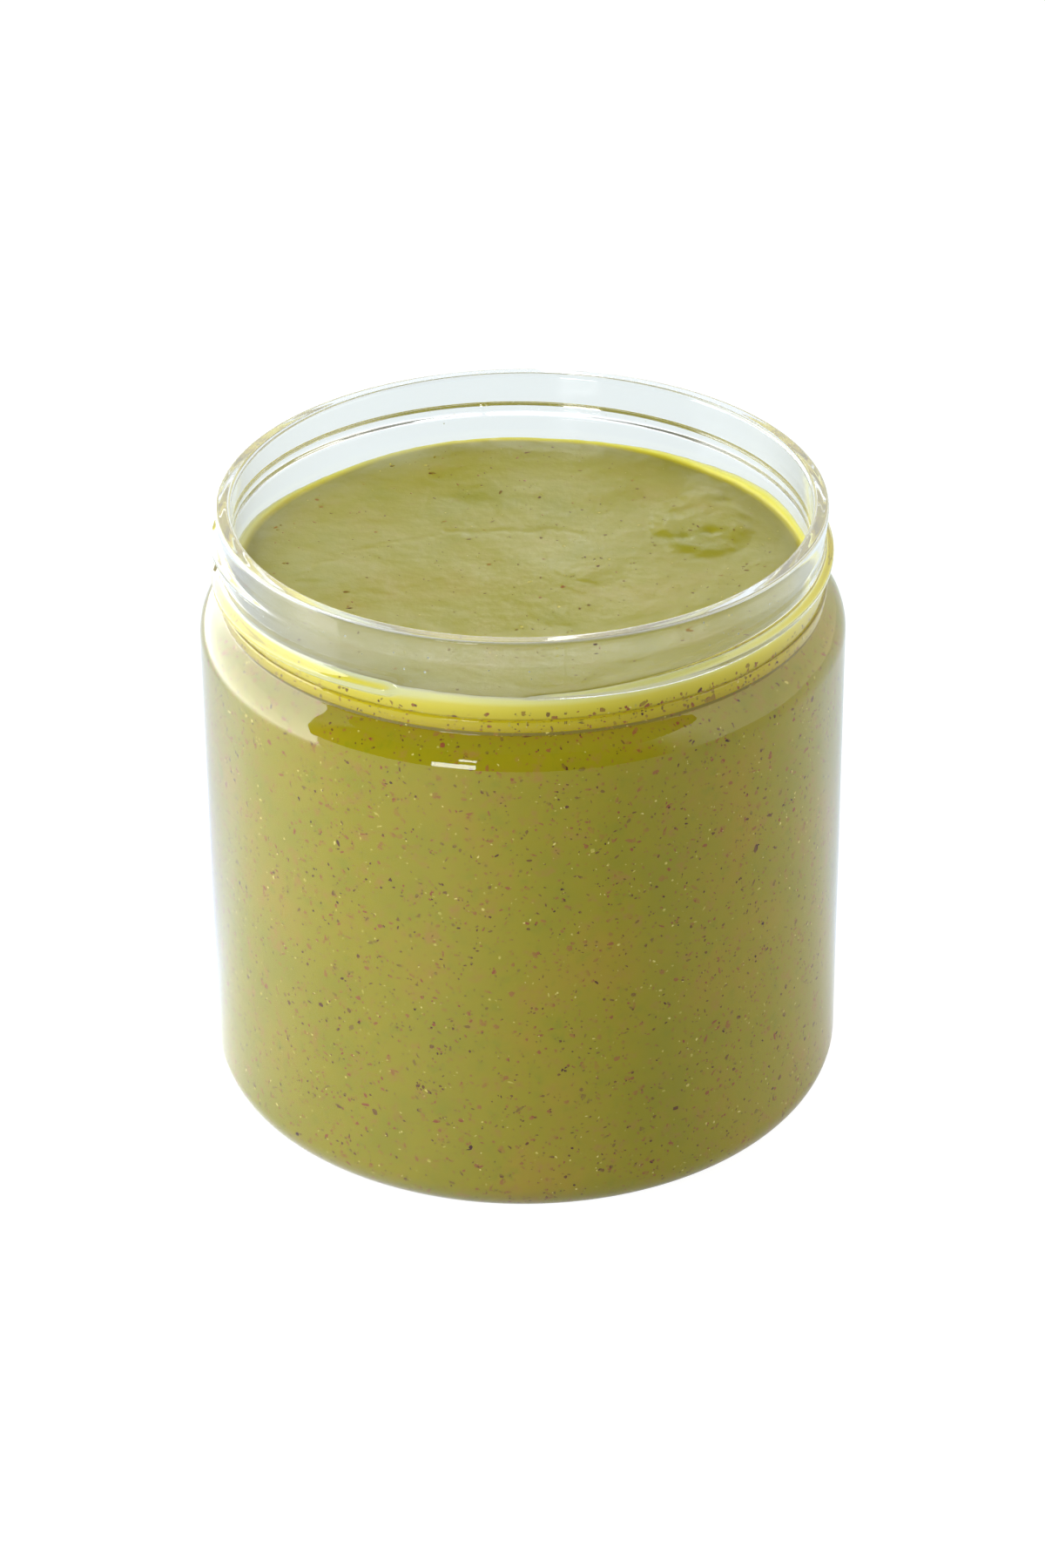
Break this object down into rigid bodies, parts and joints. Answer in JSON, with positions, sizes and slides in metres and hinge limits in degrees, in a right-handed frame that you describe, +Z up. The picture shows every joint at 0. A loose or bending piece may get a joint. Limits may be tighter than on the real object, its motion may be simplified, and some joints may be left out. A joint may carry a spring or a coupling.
{
  "type": "jar of pistachio paste",
  "caption": "Open straight-sided clear plastic jar with a wide screw neck, filled with speckled green pistachio paste to about a centimetre below the rim.",
  "frame": {"origin": "on the ground, at the centre of the jar's base", "axes": "+Z up along the jar's axis; -Y is the front, where the screw thread begins; +X to the right seen from the front"},
  "size_m": [0.092, 0.092, 0.0913],
  "materials": {
    "clear_plastic": "clear, smooth, glossy",
    "pistachio_paste": "yellow-green, fine dark and reddish flecks, softly glossy from its own oil"
  },
  "bodies": {
    "root": {"jar": "clear_plastic", "paste": "pistachio_paste"}
  },
  "joints": []
}
